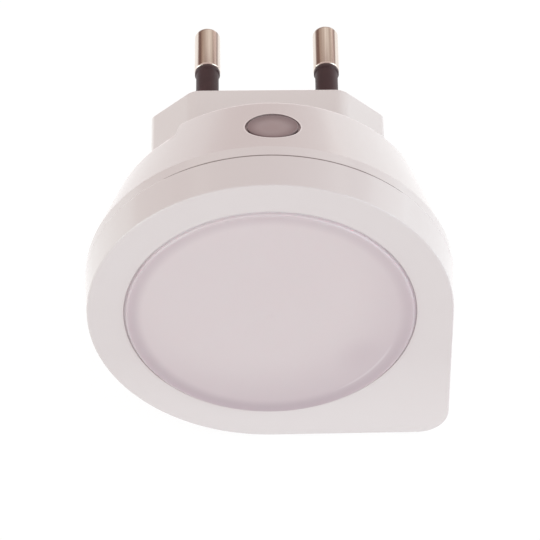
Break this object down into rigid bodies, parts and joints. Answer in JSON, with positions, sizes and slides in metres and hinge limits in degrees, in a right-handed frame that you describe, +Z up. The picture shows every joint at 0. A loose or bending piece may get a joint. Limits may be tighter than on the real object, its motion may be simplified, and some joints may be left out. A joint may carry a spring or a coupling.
{
  "type": "plug in night light",
  "caption": "Drop-shaped plug-in night light: white housing with a round milky lens, a smoked twilight sensor window on top and a flat six-sided two-pin plug behind.",
  "frame": {"origin": "centre of the plug's engagement face, midway between the two pins", "axes": "+Z up as worn on the wall, +Y into the wall along the pins, +X to the right for someone who looks at the lens"},
  "size_m": [0.054, 0.0605, 0.054],
  "materials": {
    "housing_white": "warm white moulded ABS, satin",
    "plug_white": "slightly warmer white moulded polycarbonate, satin",
    "lens_milk": "milky opal polycarbonate, smooth satin front",
    "sensor_smoke": "smoked translucent acrylic, polished",
    "pin_nickel": "nickel plated brass, polished",
    "sleeve_dark": "very dark brown insulating sleeve, satin",
    "tray_white": "bright white reflector plastic",
    "board_white": "white solder mask",
    "board_green": "green solder mask",
    "light_face": "phosphor face of a white light",
    "steel": "zinc plated steel",
    "strip_brass": "plain brass strip",
    "part_black": "black moulding compound",
    "film_case": "dull yellow capacitor case",
    "can_sleeve": "dark sleeved aluminium can",
    "fuse_body": "pale green cemented resistor body",
    "pin_tin": "tinned header pins",
    "sensor_clear": "clear epoxy sensor"
  },
  "bodies": {
    "root": {"front_bezel": "housing_white", "diffuser_lens": "lens_milk", "reflector_tray": "tray_white", "lights": "light_face", "light_board": "board_white", "light_board_screws": "steel", "link_header": "part_black", "link_pins": "pin_tin", "driver_board": "board_green", "driver_board_screws": "steel", "film_capacitor": "film_case", "electrolytic_capacitor": "can_sleeve", "fusible_resistor": "fuse_body", "bridge_rectifier": "part_black", "zener_diode": "part_black", "control_chip": "part_black", "chip_resistors": "part_black", "light_sensor": "sensor_clear", "sensor_tube": "part_black", "sensor_window": "sensor_smoke", "rear_shell": "housing_white", "plug_body": "plug_white", "plug_screws": "steel", "pin_left": "pin_nickel", "pin_right": "pin_nickel", "pin_sleeve_left": "sleeve_dark", "pin_sleeve_right": "sleeve_dark", "contact_strip_left": "strip_brass", "contact_strip_right": "strip_brass"}
  },
  "joints": []
}
